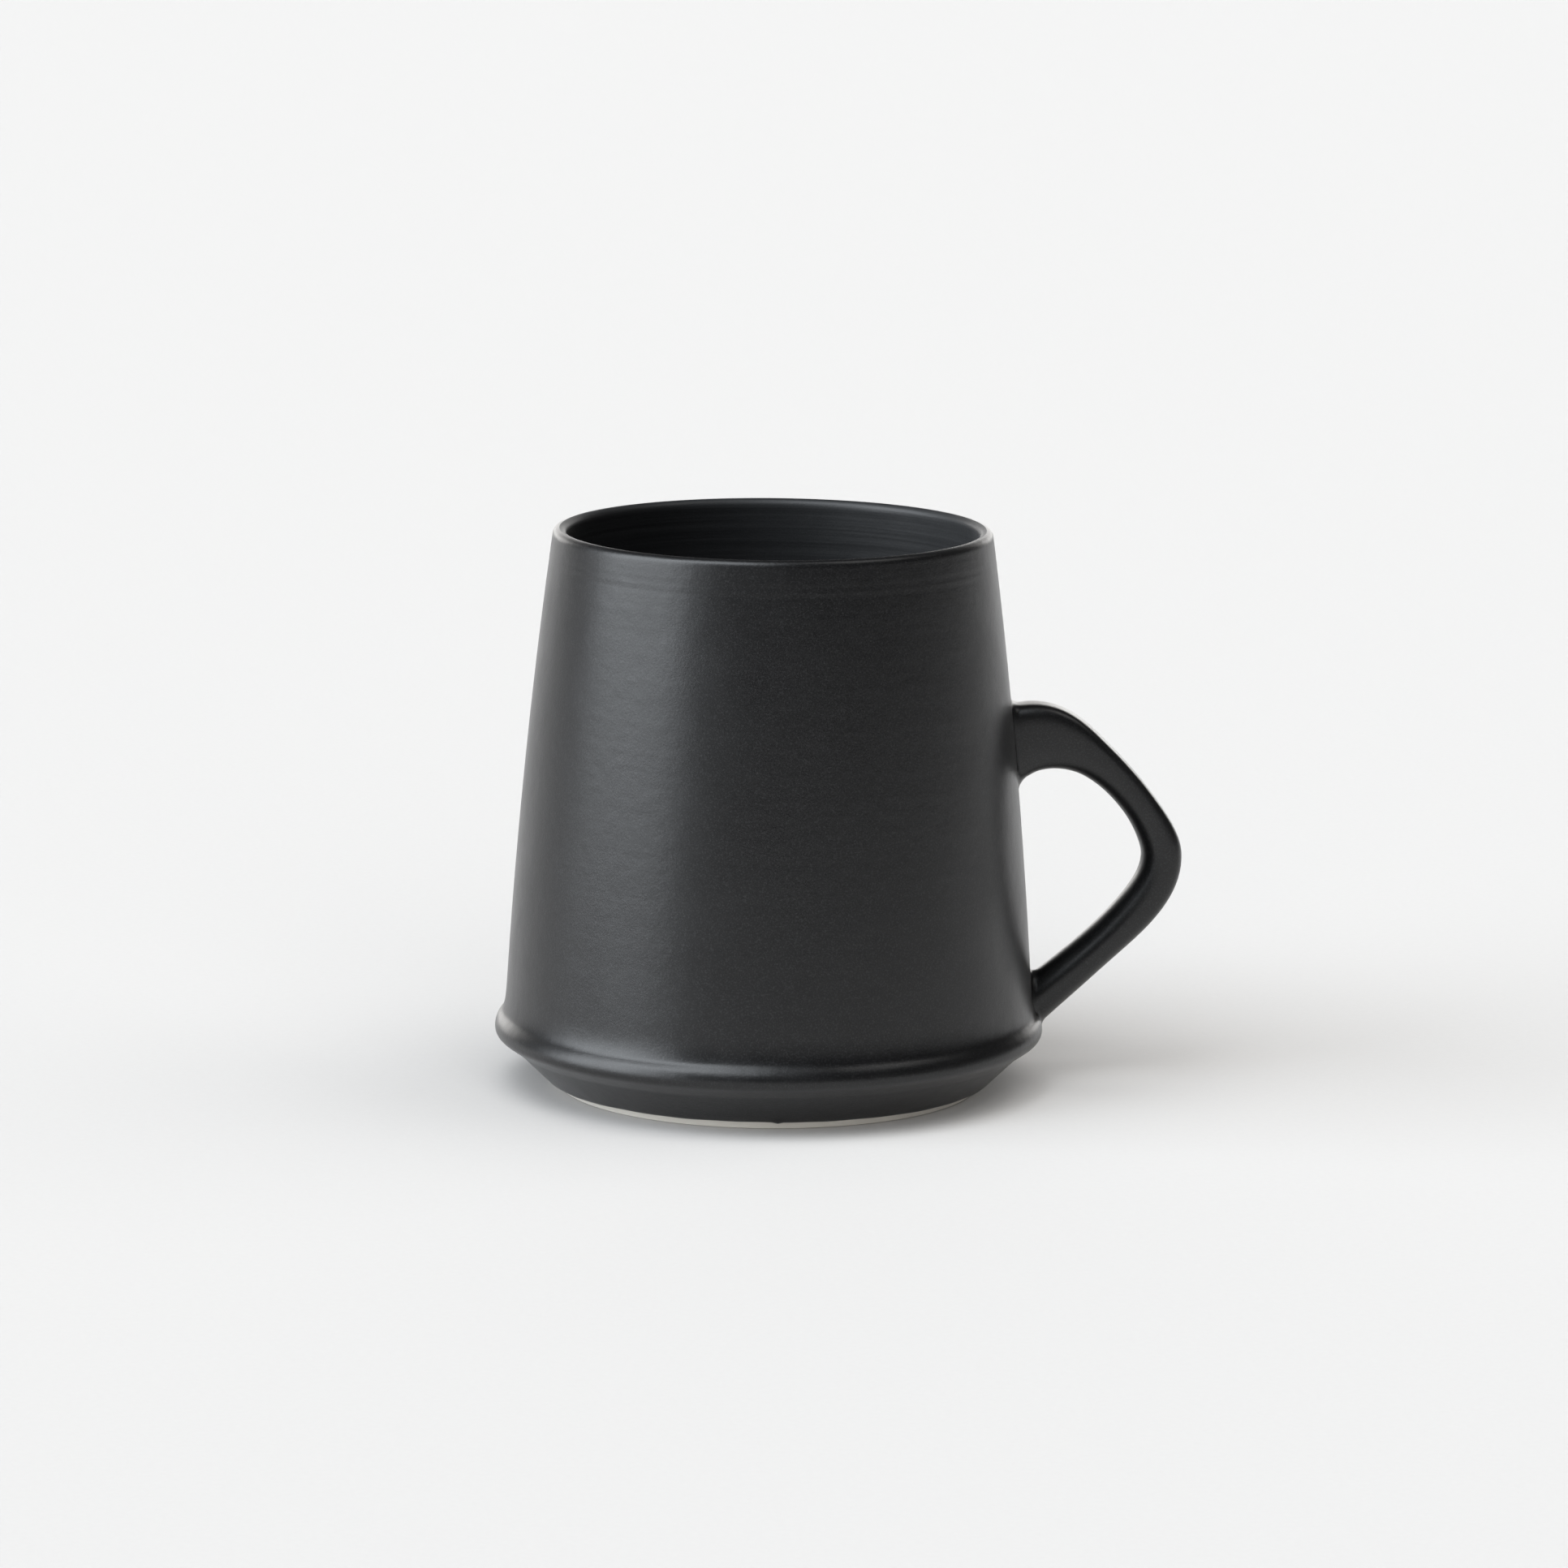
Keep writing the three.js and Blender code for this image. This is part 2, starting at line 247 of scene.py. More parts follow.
def throwing_rings(height, angle):
    """Depth of the spiral that the potter's fingers leave, in metres."""
    turn = height / RING_PITCH + angle / (2 * math.pi)
    soft = np.sin(2 * math.pi * turn) + 0.6 * np.sin(2 * math.pi * turn * 1.618 + 1.1)
    broad = np.sin(2 * math.pi * turn * 0.37 + 0.4)
    return (0.006 * soft + 0.012 * broad) * MM


def hand_wobble(height, angle):
    """Slow departure from a true circle, in metres."""
    lift = eased(0.2 * HEIGHT, HEIGHT, height)
    return lift * (0.07 * np.cos(2 * angle + 0.8) + 0.04 * np.cos(3 * angle - 0.5)) * MM


def outer_shape(radius, height, angle):
    near_lip = np.exp(-(((height - FINE_HEIGHT) / FINE_BAND) ** 2))
    on_wall = eased(BLEND_TOP, BLEND_TOP + 8 * MM, height) * (1 - eased(HEIGHT - 4 * MM, HEIGHT, height))
    rings = throwing_rings(height, angle) * (WALL_SHARE + LIP_SHARE * near_lip) * on_wall
    fine = np.sin(2 * math.pi * (height / FINE_PITCH + angle / (2 * math.pi)))
    rings = rings + FINE_DEPTH * fine * near_lip * on_wall
    return radius + rings + hand_wobble(height, angle), height


def inner_shape(radius, height, angle):
    on_wall = eased(FLOOR_HEIGHT, FLOOR_HEIGHT + 20 * MM, height)
    on_wall = on_wall * (1 - eased(HEIGHT - 5 * MM, HEIGHT - 1 * MM, height))
    on_floor = (1 - eased(FLOOR_HEIGHT, FLOOR_HEIGHT + 3 * MM, height)) * eased(0, 8 * MM, radius)
    rings = throwing_rings(height, angle) * INSIDE_SHARE * on_wall
    swirl = FLOOR_SWIRL * np.sin(2 * math.pi * radius / FLOOR_PITCH + angle) * on_floor
    return radius + rings + hand_wobble(height, angle), height + swirl


def glaze_line_height(angle):
    """The glaze was wiped back by hand, so its lower edge wanders a little and has one small bead."""
    wander = 0.05 * np.sin(3 * angle + 0.4) + 0.03 * np.sin(11 * angle + 2) + 0.02 * np.sin(29 * angle)
    away = (angle - BEAD_AT + math.pi) % (2 * math.pi) - math.pi
    bead = BEAD_DROP * np.exp(-((away / BEAD_WIDTH) ** 2))
    return (wander - bead) * MM


def outer_coat(material):
    """The outside coat, whose lower edge is rounded off where it was wiped back."""
    face = spaced(OUTSIDE, ROW)
    face = face[face[:, 1] > GLAZE_LINE + 0.35 * MM]
    back = face + GLAZE_MESH * left_of(face)
    heights = np.array([GLAZE_LINE, GLAZE_LINE + 0.08 * MM, GLAZE_LINE + 0.2 * MM])
    slope = np.interp(heights, OUTSIDE[:, 1], OUTSIDE[:, 0])
    rounding = np.array([0.28, 0.1, 0.02]) * MM
    edge = np.column_stack([slope - rounding, heights])
    closed = np.vstack([edge, face, back[::-1], edge[:1]])

    def shape(radius, height, angle):
        new_radius, new_height = outer_shape(radius, height, angle)
        near_line = 1 - eased(GLAZE_LINE, GLAZE_LINE + 1.2 * MM, height)
        return new_radius, new_height + glaze_line_height(angle) * near_line

    vertices, faces = turned(closed, shape)
    return mesh_object("outer_glaze_coat", vertices, faces, material)


def liner(material):
    face = spaced(INSIDE, ROW)
    face[-1, 0] = 0
    back = face + GLAZE_MESH * left_of(face)
    back[-1, 0] = 0
    closed = np.vstack([back[::-1], face])
    vertices, faces = turned(closed, inner_shape)
    return mesh_object("liner_glaze_coat", vertices, faces, material)


def clay(material):
    """The bare clay: it shows at the foot and underneath, and the glaze covers the rest."""
    outer = spaced(OUTSIDE, 2 * ROW)
    outer = outer + COAT * left_of(outer)
    outer = outer[outer[:, 1] > 0.6 * MM]
    inner = spaced(INSIDE, 2 * ROW)
    inner = inner + COAT * left_of(inner)
    inner[-1, 0] = 0
    ring_inside = FOOT_RADIUS - FOOT_RING_WIDTH
    foot_centre = (FOOT_RADIUS - FOOT_ROUND, FOOT_ROUND)
    ring_centre = (ring_inside + RING_ROUND, RING_ROUND)
    foot_round = arc(foot_centre, FOOT_ROUND, -math.pi / 2, -0.5, 8)
    ring_round = arc(ring_centre, RING_ROUND, math.pi + 0.4, 1.5 * math.pi, 8)
    recess = spaced(line((0, FOOT_RECESS), (ring_inside - RECESS_RUN, FOOT_RECESS)), 0.5 * MM)
    closed = np.vstack([recess, ring_round, foot_round, outer, inner])

    def shape(radius, height, angle):
        under = (height < FOOT_RECESS + 0.2 * MM) & (radius < ring_inside - MM)
        turning = FOOT_TURNING * np.sin(2 * math.pi * radius / FOOT_PITCH + angle)
        return radius, height + np.where(under, turning * eased(0, 6 * MM, radius), 0)

    vertices, faces = turned(closed, shape)
    return mesh_object("thrown_clay_body", vertices, faces, material)


# ---- Handle -------------------------------------------------------------------------------------

STRAP_WIDTH = 8.5 * MM
UPPER_ROOT = 59.1 * MM  # height of the centreline at the wall
UPPER_RISE = 0.46  # radians above level, as it leaves the wall
UPPER_PULL = 12.6 * MM
ELBOW = (BODY_RADIUS + 22.2 * MM, 39.6 * MM)
ELBOW_PULL_UP = 6.5 * MM
ELBOW_PULL_DOWN = 5.1 * MM
ARM_START = (BODY_RADIUS + 5.4 * MM, BELT_HEIGHT + 8.5 * MM)
ARM_PULL = 17.6 * MM
LOWER_ROOT = (BODY_RADIUS, BELT_HEIGHT + 4 * MM)
LOWER_DROP = 1.2 * MM
IN_WALL = 5 * MM

# At even steps along the strap, from its upper root to its lower one:
DEPTHS = np.array([12.6, 11.4, 7.3, 6.1, 6.7, 6.8, 6.5, 6.9, 7.9]) * MM
BACK_SQUARENESS = np.array([4.2, 4.6, 5, 4.4, 3.4, 2.6, 2.2, 2.1, 2.2])  # 2 is an ellipse
LOOP_SQUARENESS = np.array([3.4, 3.2, 2.6, 2.3, 2.2, 2.1, 2.0, 2.0, 2.1])
BACK_RISE = np.array([0.1, 0.0, -0.4, -0.3, 0.1, 0.2, 0.15, 0.3, 0.2]) * MM

# Fillets on the strap's back, beside it, and inside the loop:
UPPER_FILLET = (1.9 * MM, 0.9 * MM, 1.9 * MM)
LOWER_FILLET = (0.9 * MM, 0.8 * MM, 1.8 * MM)

AROUND_STRAP = 64
STRAP_ROWS = 110
FILLET_ROWS = 9
SUNK_ROWS = (-0.9 * MM, -0.12 * MM)  # two rows inside the wall close the fillet's edge
SEARCH_STEPS = 600  # along the strap, to find where each of its lines leaves the wall


def cubic(start, first, second, end, steps=160):
    t = np.linspace(0, 1, steps)[:, None]
    weights = [(1 - t) ** 3, 3 * t * (1 - t) ** 2, 3 * t**2 * (1 - t), t**3]
    return sum(w * np.array(p) for w, p in zip(weights, (start, first, second, end)))


def centreline():
    """The strap's centreline as (radius, height), from inside one joint to inside the other."""
    root = np.array([np.interp(UPPER_ROOT, OUTSIDE[:, 1], OUTSIDE[:, 0]), UPPER_ROOT])
    leaving = np.array([math.cos(UPPER_RISE), math.sin(UPPER_RISE)])
    arm = np.subtract(ARM_START, LOWER_ROOT)
    arm /= np.hypot(*arm)
    end = np.array([LOWER_ROOT[0] - IN_WALL, LOWER_ROOT[1] - LOWER_DROP])
    into = crossing(np.array(LOWER_ROOT), arm, end, (1, 0))
    above = (ELBOW[0], ELBOW[1] + ELBOW_PULL_UP)
    below = (ELBOW[0], ELBOW[1] - ELBOW_PULL_DOWN)
    return spaced(
        joined(
            line(root - IN_WALL * leaving, root),
            cubic(root, root + UPPER_PULL * leaving, above, ELBOW),
            cubic(ELBOW, below, np.array(ARM_START) + ARM_PULL * arm, ARM_START),
            line(ARM_START, LOWER_ROOT),
            bend(LOWER_ROOT, into, end),
        ),
        0.1 * MM,
    )


CENTRELINE = centreline()


def smooth_through(values, at):
    """A Catmull-Rom curve through evenly spaced values, at fractions from 0 to 1."""
    padded = np.concatenate([[values[0]], values, [values[-1]]])
    place = np.clip(at, 0, 1) * (len(values) - 1)
    i = np.minimum(place.astype(int), len(values) - 2)
    t = place - i
    a, b, c, d = (padded[i + k] for k in range(4))
    return b + 0.5 * t * (c - a + t * (2 * a - 5 * b + 4 * c - d + t * (3 * (b - c) + d - a)))


def wall_gap(radius, height):
    """Signed distance from the glazed wall, and the wall's outward normal as (radial, up)."""
    wall = spaced(OUTSIDE, 0.25 * MM)
    start, span = wall[:-1], np.diff(wall, axis=0)
    here = np.stack([radius, height], -1)[..., None, :]
    share = np.clip(((here - start) * span).sum(-1) / (span**2).sum(-1), 0, 1)
    offset = here - (start + share[..., None] * span)
    nearest = np.argmin((offset**2).sum(-1), -1)
    normal = np.stack([span[:, 1], -span[:, 0]], -1) / np.hypot(*span.T)[:, None]
    normal = normal[nearest]
    offset = np.take_along_axis(offset, nearest[..., None, None], -2)[..., 0, :]
    return (offset * normal).sum(-1), normal


def strap_base(phi, at):
    """Points of the plain strap at section angles and fractions, and the way to its back there."""
    place = at * (len(CENTRELINE) - 1)
    index = np.arange(len(CENTRELINE))
    centre = np.stack([np.interp(place, index, CENTRELINE[:, k]) for k in (0, 1)], -1)
    outward = left_of(CENTRELINE)
    outward = np.stack([np.interp(place, index, outward[:, k]) for k in (0, 1)], -1)
    outward /= np.linalg.norm(outward, axis=-1, keepdims=True)
    back, loop = smooth_through(BACK_SQUARENESS, at), smooth_through(LOOP_SQUARENESS, at)
    power = 2 / np.where(np.cos(phi) > 0, back, loop)
    across = np.sign(np.cos(phi)) * np.abs(np.cos(phi)) ** power
    sideways = np.sign(np.sin(phi)) * np.abs(np.sin(phi)) ** power
    half_depth = smooth_through(DEPTHS, at) / 2
    raised = across * half_depth + smooth_through(BACK_RISE, at) * np.maximum(across, 0)
    x = centre[..., 0] + outward[..., 0] * raised
    z = centre[..., 1] + outward[..., 1] * raised
    y = sideways * STRAP_WIDTH / 2
    return np.stack([x, y, z], -1), outward


def fillet_at(sizes, phi):
    """The fillet's size at one section angle, blended between the back, the sides and the loop."""
    back, side, inside = sizes
    across = math.cos(phi)
    return side + (back - side) * max(across, 0) ** 2 + (inside - side) * max(-across, 0) ** 2


def root_rows(at, gap, fillet, from_wall):
    """Fractions where one lengthwise line stands at the fillet's gaps, from the wall outward."""
    order = slice(None) if from_wall else slice(None, None, -1)
    at, gap = at[order], gap[order]
    first = np.argmax(gap > 0)
    near = slice(max(first - SEARCH_STEPS // 10, 0), first + SEARCH_STEPS // 3)
    rising = np.maximum.accumulate(gap[near])
    wanted = fillet * (1 - np.cos(np.linspace(0, math.pi / 2, FILLET_ROWS)))
    return np.interp(np.concatenate([SUNK_ROWS, wanted]), rising, at[near])


def handle_surface():
    """A grid of points, section angle by row, that meets the wall in tight rounded fillets."""
    phis = (np.arange(AROUND_STRAP) + 0.5) * 2 * math.pi / AROUND_STRAP
    at = np.linspace(0, 1, SEARCH_STEPS)
    grid = []
    for phi in phis:
        base, _ = strap_base(np.full(at.shape, phi), at)
        gap, _ = wall_gap(np.hypot(base[:, 0], base[:, 1]), base[:, 2])
        above, below = fillet_at(UPPER_FILLET, phi), fillet_at(LOWER_FILLET, phi)
        upper = root_rows(at, gap, above, True)
        lower = root_rows(at, gap, below, False)
        middle = np.linspace(upper[-1], lower[-1], STRAP_ROWS + 2)[1:-1]
        rows = np.concatenate([upper, middle, lower[::-1]])
        points, outward = strap_base(np.full(rows.shape, phi), rows)
        fade = 1 - np.sin(np.linspace(0, math.pi / 2, FILLET_ROWS))
        fade = np.concatenate([np.ones(len(SUNK_ROWS)), fade])
        spread = np.concatenate([above * fade, np.zeros(STRAP_ROWS), below * fade[::-1]])
        grid.append(flared(points, outward, phi, spread))
    return np.array(grid)


def flared(points, outward, phi, spread):
    """Moves points along the wall, away from the strap, and keeps their distance from the wall."""
    gap, normal = wall_gap(np.hypot(points[:, 0], points[:, 1]), points[:, 2])
    away = np.column_stack(
        [outward[:, 0] * math.cos(phi), np.full(len(points), math.sin(phi)), outward[:, 1] * math.cos(phi)]
    )
    wall = wall_normal(points, normal)
    away -= (away * wall).sum(-1, keepdims=True) * wall
    away /= np.linalg.norm(away, axis=-1, keepdims=True)
    moved = points + away * spread[:, None]
    new_gap, new_normal = wall_gap(np.hypot(moved[:, 0], moved[:, 1]), moved[:, 2])
    fix = np.where(spread > 0, gap - new_gap, 0)[:, None]
    return moved + fix * wall_normal(moved, new_normal)


def wall_normal(points, normal):
    """The wall's (radial, up) normals as directions in space."""
    radius = np.hypot(points[:, 0], points[:, 1])
    return np.column_stack(
        [normal[:, 0] * points[:, 0] / radius, normal[:, 0] * points[:, 1] / radius, normal[:, 1]]
    )


def handle_coat(material):
    """The handle's coat as one closed tube, with both ends inside the wall."""
    grid = handle_surface()
    columns, rows = grid.shape[:2]
    vertices = grid.reshape(-1, 3).copy()
    vertices[:, 0] += AXIS_X
    faces = []
    for i in range(columns):
        j = (i + 1) % columns
        for k in range(rows - 1):
            faces.append((i * rows + k, i * rows + k + 1, j * rows + k + 1, j * rows + k))
    faces.append([i * rows for i in range(columns)])
    faces.append([i * rows + rows - 1 for i in reversed(range(columns))])
    return mesh_object("handle_glaze_coat", vertices, faces, material, math.radians(70))


# ---- Materials ----------------------------------------------------------------------------------

class Nodes:
    """Short calls for building one material's node tree."""

    def __init__(self, name):
        self.material = bpy.data.materials.new(name)
        self.material.use_nodes = True
        self.tree = self.material.node_tree
        self.shader = self.tree.nodes["Principled BSDF"]
        self.place = self.add("ShaderNodeTexCoord").outputs["Object"]

    def add(self, kind, **inputs):
        node = self.tree.nodes.new(kind)
        for key, value in inputs.items():
            self.feed(node.inputs[key.replace("_", " ")], value)
        return node

    def feed(self, socket, value):
        if isinstance(value, bpy.types.NodeSocket):
            self.tree.links.new(value, socket)
        else:
            socket.default_value = value

    def noise(self, scale, detail=2.0, roughness=0.5, stretch=(1, 1, 1)):
        mapping = self.add("ShaderNodeMapping", Vector=self.place, Scale=stretch)
        node = self.add("ShaderNodeTexNoise", Vector=mapping.outputs[0], Scale=scale, Detail=detail)
        node.inputs["Roughness"].default_value = roughness
        return node.outputs["Fac"]

    def remap(self, value, low, high, to_low, to_high):
        node = self.add("ShaderNodeMapRange")
        for socket, item in zip(node.inputs, (value, low, high, to_low, to_high)):
            self.feed(socket, item)
        return node.outputs[0]

    def mix(self, share, first, second):
        node = self.tree.nodes.new("ShaderNodeMix")
        node.data_type = "RGBA"
        self.feed(node.inputs["Factor"], share)
        self.feed(node.inputs[6], first)
        self.feed(node.inputs[7], second)
        return node.outputs[2]

    def bump(self, height, strength, distance, under=None):
        node = self.add("ShaderNodeBump", Height=height, Strength=strength, Distance=distance)
        if under is not None:
            self.feed(node.inputs["Normal"], under)
        return node.outputs[0]

    def math(self, operation, first, second=0.0):
        node = self.tree.nodes.new("ShaderNodeMath")
        node.operation = operation
        self.feed(node.inputs[0], first)
        self.feed(node.inputs[1], second)
        return node.outputs[0]


def specks(nodes, cell, size, share):
    """Rare round dots: one in some of the cells of a grid, as a mask."""
    node = nodes.add("ShaderNodeTexVoronoi", Vector=nodes.place, Scale=1 / cell)
    dot = nodes.remap(node.outputs["Distance"], size / cell, 0.5 * size / cell, 0.0, 1.0)
    pick = nodes.add("ShaderNodeSeparateColor", Color=node.outputs["Color"]).outputs[0]
    chosen = nodes.math("LESS_THAN", pick, share)
    return nodes.math("MULTIPLY", dot, chosen)


GRAIN_COLOUR = (0.026, 0.026, 0.027, 1)
SPECK_COLOUR = (0.32, 0.31, 0.29, 1)
GROG_COLOUR = (0.42, 0.34, 0.25, 1)
PAPER_DARK = (0.350, 0.346, 0.343, 1)
PAPER_LIGHT = (0.364, 0.360, 0.357, 1)
ROUGHNESS_SPREAD = 0.03
ALONG_RINGS = (0.03, 0.03, 1)  # stretches a noise into level streaks round the mug
ALONG_TURNING = (0.05, 0.05, 1)


def black_glaze(name, roughness, dark, light, ridge_strength):
    """Satin black glaze: soft clouds of colour, fine grain, rare pale specks and an uneven skin."""
    nodes = Nodes(name)
    inputs = nodes.shader.inputs
    colour = nodes.mix(nodes.noise(scale=60, detail=3), dark, light)
    grain = nodes.remap(nodes.noise(scale=3600, detail=2), 0.50, 0.72, 0.0, 0.6)
    colour = nodes.mix(grain, colour, GRAIN_COLOUR)
    dots = specks(nodes, cell=9 * MM, size=0.16 * MM, share=0.12)
    colour = nodes.mix(dots, colour, SPECK_COLOUR)
    nodes.feed(inputs["Base Color"], colour)
    patches = nodes.noise(scale=110, detail=2)
    smooth, rough = roughness - ROUGHNESS_SPREAD, roughness + ROUGHNESS_SPREAD
    nodes.feed(inputs["Roughness"], nodes.remap(patches, 0.3, 0.7, smooth, rough))
    inputs["IOR"].default_value = 1.5
    inputs["Sheen Weight"].default_value = 0.09
    inputs["Sheen Roughness"].default_value = 0.3
    streaks = nodes.noise(scale=700, detail=2, stretch=ALONG_RINGS)
    ridges = nodes.bump(streaks, ridge_strength, 0.35 * MM)
    orange_peel = nodes.bump(nodes.noise(scale=420, detail=2), 0.10, 0.35 * MM, ridges)
    skin = nodes.bump(nodes.noise(scale=2600, detail=3, roughness=0.6), 0.16, 0.12 * MM, orange_peel)
    nodes.feed(inputs["Normal"], skin)
    return nodes.material


def bare_clay(name, dark, light):
    """Fired clay without glaze: grog, a dry tooth and the marks of turning."""
    nodes = Nodes(name)
    inputs = nodes.shader.inputs
    clouds = nodes.noise(scale=140, detail=4)
    grog = specks(nodes, cell=1.6 * MM, size=0.16 * MM, share=0.3)
    colour = nodes.mix(grog, nodes.mix(clouds, dark, light), GROG_COLOUR)
    nodes.feed(inputs["Base Color"], colour)
    nodes.feed(inputs["Roughness"], nodes.remap(clouds, 0.3, 0.7, 0.82, 0.92))
    tooth = nodes.bump(nodes.noise(scale=2400, detail=4, roughness=0.6), 0.3, 0.2 * MM)
    marks = nodes.noise(scale=900, detail=2, stretch=ALONG_TURNING)
    nodes.feed(inputs["Normal"], nodes.bump(marks, 0.2, 0.2 * MM, tooth))
    return nodes.material


def paper(name):
    nodes = Nodes(name)
    fibre = nodes.noise(scale=900, detail=3)
    nodes.feed(nodes.shader.inputs["Base Color"], nodes.mix(fibre, PAPER_DARK, PAPER_LIGHT))
    nodes.shader.inputs["Roughness"].default_value = 0.9
    nodes.shader.inputs["Specular IOR Level"].default_value = 0.1
    return nodes.material


# ---- Pieces -------------------------------------------------------------------------------------

outside_glaze = black_glaze(
    "satin_black_glaze",
    roughness=0.34,
    dark=(0.0022, 0.0023, 0.0028, 1),
    light=(0.0036, 0.0036, 0.0041, 1),
    ridge_strength=0.015,
)
# Painted light: the liner is the same black glaze as the outside coat, but its colour is made several
# times lighter so that the inside of the cup looks lit
inside_glaze_painted_light = black_glaze(
    "satin_black_liner_painted_light",
    roughness=0.50,
    dark=(0.014, 0.0148, 0.0160, 1),
    light=(0.020, 0.0208, 0.0220, 1),
    ridge_strength=0.32,
)
clay_material = bare_clay("fired_clay", (0.70, 0.67, 0.61, 1), (0.80, 0.77, 0.71, 1))
slip_material = bare_clay("fired_slip", (0.60, 0.56, 0.48, 1), (0.70, 0.65, 0.56, 1))

pieces = [
    (outer_coat(outside_glaze), "outer_glaze", "black_glaze"),
    (liner(inside_glaze_painted_light), "inner_glaze", "liner_glaze"),
    (handle_coat(outside_glaze), "handle_glaze", "black_glaze"),
    (clay(clay_material), "clay_body", "bare_clay"),
]
for piece, node, slot in pieces:
    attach(piece, "root")
    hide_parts(node)

for node, material in (
    ("handle", clay_material),
    ("upper_slip_joint", slip_material),
    ("lower_slip_joint", slip_material),
):
    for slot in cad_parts[node].material_slots:
        slot.material = material


# ---- Stage, light and camera --------------------------------------------------------------------

FLOOR_HALF = 8.0
DAYLIGHT = (0.90, 0.95, 1.0)
LAMPLIGHT = (1.0, 0.985, 0.96)
PAPER_LAMPLIGHT = (1.0, 0.99, 0.975)
AMBIENT = 0.07
LAMP_WIDTH = math.radians(60)  # how wide each paper lamp looks from the mug


def stage_floor():
    size = FLOOR_HALF
    corners = [(-size, -size, 0), (size, -size, 0), (size, size, 0), (-size, size, 0)]
    floor = mesh_object("paper_floor", corners, [(0, 1, 2, 3)], paper("white_paper"))
    return floor


class Sky:
    """Soft fields of light around the mug, far enough away to light the floor evenly."""

    def __init__(self, colour, strength):
        self.world = bpy.data.worlds.new("studio")
        self.world.use_nodes = True
        self.tree = self.world.node_tree
        self.background = self.tree.nodes["Background"]
        self.place = self.tree.nodes.new("ShaderNodeTexCoord").outputs["Generated"]
        split = self.tree.nodes.new("ShaderNodeSeparateXYZ")
        self.tree.links.new(self.place, split.inputs[0])
        self.right, self.back, self.up = split.outputs
        self.azimuth = self.math("ARCTAN2", self.right, self.math("MULTIPLY", self.back, -1.0))
        self.elevation = self.math("ARCSINE", self.up)
        self.light = tuple(c * strength for c in colour)
        bpy.context.scene.world = self.world

    def math(self, operation, first, second=0.0):
        node = self.tree.nodes.new("ShaderNodeMath")
        node.operation = operation
        for socket, value in zip(node.inputs, (first, second)):
            if isinstance(value, bpy.types.NodeSocket):
                self.tree.links.new(value, socket)
            else:
                socket.default_value = value
        return node.outputs[0]

    def band(self, value, middle, half, soft):
        """1 within half of the middle, falling smoothly to 0 over the soft edge. In degrees."""
        away = self.math("ABSOLUTE", self.math("SUBTRACT", value, math.radians(middle)))
        node = self.tree.nodes.new("ShaderNodeMapRange")
        node.interpolation_type = "SMOOTHSTEP"
        self.tree.links.new(away, node.inputs["Value"])
        node.inputs["From Min"].default_value = math.radians(half)
        node.inputs["From Max"].default_value = math.radians(half + soft)
        node.inputs["To Min"].default_value = 1.0
        node.inputs["To Max"].default_value = 0.0
        return node.outputs[0]

    def field(self, share, colour, strength):
        """Adds light in proportion to a share from 0 to 1."""
        node = self.tree.nodes.new("ShaderNodeVectorMath")
        node.operation = "MULTIPLY_ADD"
        self.tree.links.new(share, node.inputs[0])
        node.inputs[1].default_value = tuple(c * strength for c in colour)
        if isinstance(self.light, tuple):
            node.inputs[2].default_value = self.light
        else:
            self.tree.links.new(self.light, node.inputs[2])
        self.light = node.outputs[0]

    def window(self, azimuth, elevation, half_width, half_height, soft, colour, strength):
        """A soft-edged field. Azimuth is 0 in front of the mug, positive to the right. In degrees."""
        across = self.band(self.azimuth, azimuth, half_width, soft)
        upward = self.band(self.elevation, elevation, half_height, soft)
        self.field(self.math("MULTIPLY", across, upward), colour, strength)

    def finish(self):
        self.tree.links.new(self.light, self.background.inputs["Color"])


def paper_lamp(name, azimuth, elevation, share, pale_things):
    """A far soft lamp for the paper and bare clay only, so that the glaze mirrors just the sky."""
    turn, tilt = math.radians(azimuth), math.radians(elevation)
    out = Vector((math.sin(turn) * math.cos(tilt), -math.cos(turn) * math.cos(tilt), math.sin(tilt)))
    data = bpy.data.lights.new(name, "SUN")
    data.angle = LAMP_WIDTH
    data.energy = share * math.pi / out.z
    data.color = PAPER_LAMPLIGHT
    lamp = bpy.data.objects.new(name, data)
    lamp.rotation_euler = out.to_track_quat("Z", "Y").to_euler()
    bpy.context.scene.collection.objects.link(lamp)
    lamp.light_linking.receiver_collection = pale_things


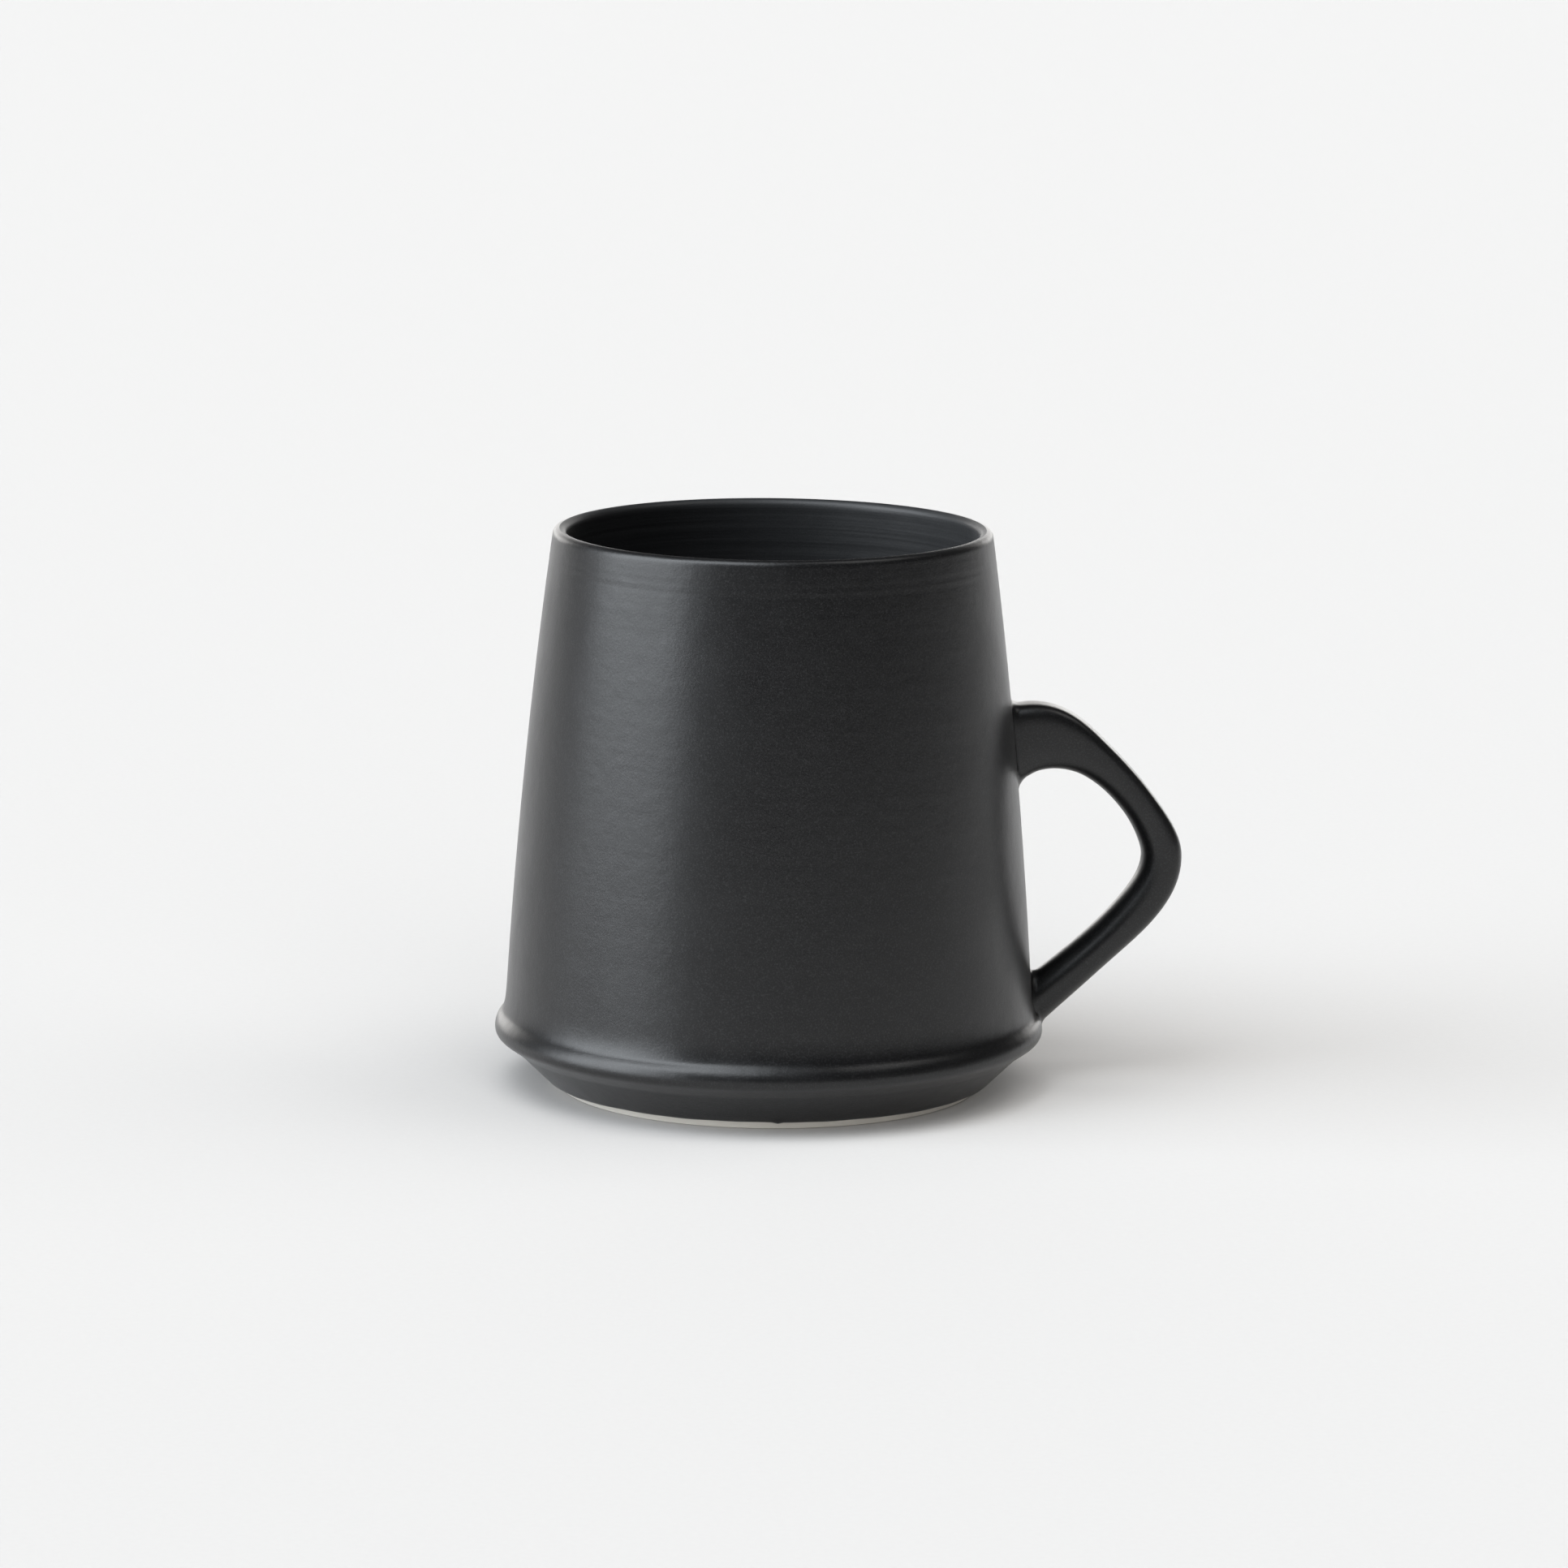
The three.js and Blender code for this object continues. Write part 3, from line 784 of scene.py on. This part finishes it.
def studio(floor, bare_foot):
    sky = Sky(LAMPLIGHT, AMBIENT)
    # A tall window at the left, and the sky above it that the shoulder and the rim mirror
    sky.window(-77, 23, 22, 18, 10, DAYLIGHT, 6.0)
    sky.window(-44, 58, 24, 12, 16, DAYLIGHT, 5.2)
    # A weak light high at the right
    sky.window(75, 62, 20, 8, 14, LAMPLIGHT, 1.6)
    # A pale backdrop, in two halves because azimuth starts again behind the mug
    sky.window(180, 0, 30, 10, 12, LAMPLIGHT, 3.6)
    sky.window(-180, 0, 30, 10, 12, LAMPLIGHT, 3.6)
    sky.finish()
    pale_things = bpy.data.collections.new("paper_and_bare_clay")
    pale_things.objects.link(floor)
    pale_things.objects.link(bare_foot)
    paper_lamp("front_lamp", 0, 38, 0.55, pale_things)
    paper_lamp("right_lamp", 95, 45, 0.32, pale_things)
    paper_lamp("top_lamp", 0, 90, 0.50, pale_things)


CAMERA_DISTANCE = 1.2376  # metres from the mug's axis, along the floor
CAMERA_HEIGHT = 0.2786
CAMERA_PITCH = math.radians(10.377)
CAMERA_TURN = math.radians(0.105)  # heading to the right of the mug's axis
CAMERA_ROLL = math.radians(0.516)
HANDLE_AWAY = math.radians(4.0)  # how far the handle points away from the picture plane
LENS = 169.43


def camera():
    data = bpy.data.cameras.new("camera")
    data.lens = LENS
    data.sensor_width = 36.0
    data.clip_start = 0.05
    view = bpy.data.objects.new("camera", data)
    heading = CAMERA_TURN + HANDLE_AWAY
    forward = Vector(
        (
            math.sin(heading) * math.cos(CAMERA_PITCH),
            math.cos(heading) * math.cos(CAMERA_PITCH),
            -math.sin(CAMERA_PITCH),
        )
    )
    right = forward.cross(Vector((0, 0, 1))).normalized()
    up = right.cross(forward)
    level_right = math.cos(CAMERA_ROLL) * right + math.sin(CAMERA_ROLL) * up
    level_up = math.cos(CAMERA_ROLL) * up - math.sin(CAMERA_ROLL) * right
    turn = Matrix((level_right, level_up, -forward)).transposed()
    place = Vector(
        (
            AXIS_X - CAMERA_DISTANCE * math.sin(HANDLE_AWAY),
            -CAMERA_DISTANCE * math.cos(HANDLE_AWAY),
            CAMERA_HEIGHT,
        )
    )
    view.matrix_world = Matrix.Translation(place) @ turn.to_4x4()
    bpy.context.scene.collection.objects.link(view)
    bpy.context.scene.camera = view


studio(stage_floor(), bpy.data.objects["thrown_clay_body"])
camera()
bpy.context.scene.view_settings.view_transform = "Standard"
